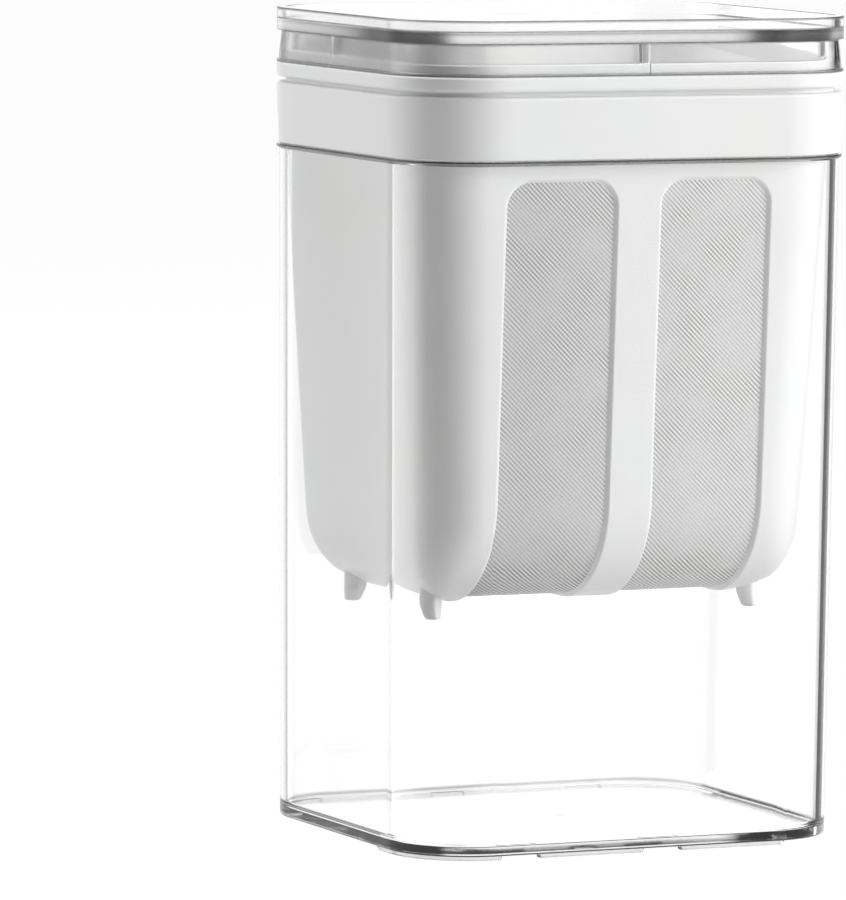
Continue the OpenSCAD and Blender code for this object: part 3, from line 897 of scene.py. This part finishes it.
def makeFloor():
    # pale paper: white with the object's shadow where it is seen, and a plain grey for the light
    # that it throws back
    h = studio["floorHalf"]
    mesh = bpy.data.meshes.new("studio_floor")
    mesh.from_pydata([(-h, -h, 0), (h, -h, 0), (h, h, 0), (-h, h, 0)], [], [(0, 1, 2, 3)])
    floor = bpy.data.objects.new("studio_floor", mesh)
    bpy.context.scene.collection.objects.link(floor)
    material, tree = newMaterial("pale_matte_paper")
    paper = addNode(tree, "BsdfDiffuse", {"Color": hexToLinear(studio["floorPaper"])})
    glow = addNode(tree, "Emission", {
        "Color": hexToLinear("#FFFFFF"), "Strength": studio["floorGlow"]})
    both = addNode(tree, "AddShader", {}, {0: paper.outputs[0], 1: glow.outputs[0]})
    plain = addNode(tree, "BsdfDiffuse", {"Color": hexToLinear(studio["floorBounce"])})
    mix = addNode(tree, "MixShader", {}, {
        "Fac": seenRays(tree), 1: plain.outputs[0], 2: both.outputs[0]})
    addNode(tree, "OutputMaterial", {}, {"Surface": mix.outputs[0]})
    mesh.materials.append(material)
    floor.visible_transmission = False


def makeWorld():
    # a tent whose brightness goes by a direction's angle round Z: bright and dim sides with one
    # dark card for reflections, plain white for what is seen straight through the clear plastic,
    # and for soft light a dim wall under a brighter ceiling
    s = studio
    world = bpy.data.worlds.new("studio_light")
    bpy.context.scene.world = world
    world.use_nodes = True
    tree = world.node_tree
    tree.nodes.clear()
    place = addNode(tree, "TexCoord")
    parts = addNode(tree, "SeparateXYZ", {}, {0: place.outputs["Generated"]})
    angle = addNode(tree, "Math", {"operation": "ARCTAN2"},
                    {0: parts.outputs["X"], 1: parts.outputs["Y"]})
    middle = math.radians((s["flagFrom"] + s["flagTo"]) / 2)
    away = addNode(tree, "Math", {"operation": "SUBTRACT", 1: middle}, {0: angle.outputs[0]})
    away = addNode(tree, "Math", {"operation": "ABSOLUTE"}, {0: away.outputs[0]})
    half = math.radians((s["flagTo"] - s["flagFrom"]) / 2)
    flag = addNode(tree, "MapRange", {
        "interpolation_type": "SMOOTHSTEP", "From Min": half,
        "From Max": half + math.radians(s["flagSoft"]), "To Min": s["flagLevel"]},
        {"Value": away.outputs[0]})
    turned = addNode(tree, "MapRange", {"From Min": -math.pi, "From Max": math.pi},
                     {"Value": angle.outputs[0]})
    ramp = addNode(tree, "ValToRGB", {}, {"Fac": turned.outputs["Result"]})
    stops = ramp.color_ramp.elements
    for i, (degrees, level) in enumerate(s["mirrored"]):
        share = degrees / 360 + 0.5
        stop = stops[i] if i < 2 else stops.new(share)
        stop.position, stop.color = share, (level / s["brightest"],) * 3 + (1,)
    tent = addNode(tree, "Math", {"operation": "MULTIPLY", 1: s["brightest"]},
                   {0: ramp.outputs["Color"]})
    mirrored = addNode(tree, "Math", {"operation": "MULTIPLY"},
                       {0: tent.outputs[0], 1: flag.outputs["Result"]})
    wall = addNode(tree, "Math", {"operation": "MULTIPLY", 1: s["wallFill"]},
                   {0: mirrored.outputs[0]})
    sky = addNode(tree, "MapRange", {
        "From Min": s["skyFrom"], "From Max": s["skyTo"], "To Max": s["skyFill"]},
        {"Value": parts.outputs["Z"], "To Min": wall.outputs[0]})
    path = addNode(tree, "LightPath")
    level = addNode(tree, "Mix", {"data_type": "FLOAT"}, {
        0: path.outputs["Is Glossy Ray"], 2: sky.outputs["Result"], 3: mirrored.outputs[0]})
    # what is seen straight through the plastic has not been turned back inside it
    unturned = addNode(tree, "Math", {"operation": "LESS_THAN", 1: 0.5},
                       {0: path.outputs["Glossy Depth"]})
    direct = addNode(tree, "Math", {"operation": "MULTIPLY"},
                     {0: path.outputs["Is Transmission Ray"], 1: unturned.outputs[0]})
    level = addNode(tree, "Mix", {"data_type": "FLOAT", 3: s["seenThrough"]},
                    {0: direct.outputs[0], 2: level.outputs[0]})
    level = addNode(tree, "Mix", {"data_type": "FLOAT", 3: 1.0},
                    {0: path.outputs["Is Camera Ray"], 2: level.outputs[0]})
    back = addNode(tree, "Background", {"Color": hexToLinear("#FFFFFF")},
                   {"Strength": level.outputs[0]})
    addNode(tree, "OutputWorld", {}, {"Surface": back.outputs[0]})


# each lamp's place, aim and size in metres, and its power in watts
softboxes = {
    "right_softbox": ((1.1, -1.12, 0.6), (0, 0, 0.1), (0.9, 1.2), 22.8),
    "left_softbox": ((-1.12, 0.95, 0.5), (0, 0, 0.1), (0.8, 1.1), 12.0),
    "top_softbox": ((0.05, 0.15, 1.2), (0, 0, 0.15), (0.8, 0.8), 8.0),
    "back_softbox": ((0.5, 1.2, 1.3), (0, 0, 0.1), (0.8, 0.8), 5.0),
}


def addLamp(name, place, aim, size, power):
    # a soft rectangle of light that turns its face to the aim and isn't seen itself
    data = bpy.data.lights.new(name, "AREA")
    data.shape, data.size, data.size_y, data.energy = "RECTANGLE", size[0], size[1], power
    lamp = bpy.data.objects.new(name, data)
    lamp.location = place
    lamp.rotation_mode = "QUATERNION"
    lamp.rotation_quaternion = (Vector(aim) - Vector(place)).to_track_quat("-Z", "Y")
    lamp.visible_glossy = False
    lamp.visible_transmission = False
    bpy.context.scene.collection.objects.link(lamp)


makeFloor()
makeWorld()
for name, settings in softboxes.items():
    addLamp(name, *settings)

# the camera's place in metres, and the directions of its right side and its back
camera = {
    "place": (-0.88072, -1.85037, 0.28569),
    "right": (0.9099, -0.4147, 0.0092),
    "back": (-0.4137, -0.9056, 0.0937),
    "lens": 335.32, "sensor": 36.0,  # mm
    "farthest": 100.0,
}


def makeCamera():
    # its up is back x right, once right is made square to back
    data = bpy.data.cameras.new("front_left")
    data.lens, data.sensor_width = camera["lens"], camera["sensor"]
    data.clip_end = camera["farthest"]
    eye = bpy.data.objects.new("front_left", data)
    back = Vector(camera["back"]).normalized()
    right = Vector(camera["right"])
    right = (right - back * right.dot(back)).normalized()
    turn = Matrix((right, back.cross(right), back)).transposed()
    eye.matrix_world = Matrix.Translation(camera["place"]) @ turn.to_4x4()
    bpy.context.scene.collection.objects.link(eye)
    bpy.context.scene.camera = eye


makeCamera()
scene = bpy.context.scene
scene.view_settings.view_transform = "Standard"
scene.cycles.max_bounces = studio["bounces"]
scene.cycles.transmission_bounces = studio["bounces"]
scene.cycles.transparent_max_bounces = studio["bounces"]
print("studio made")
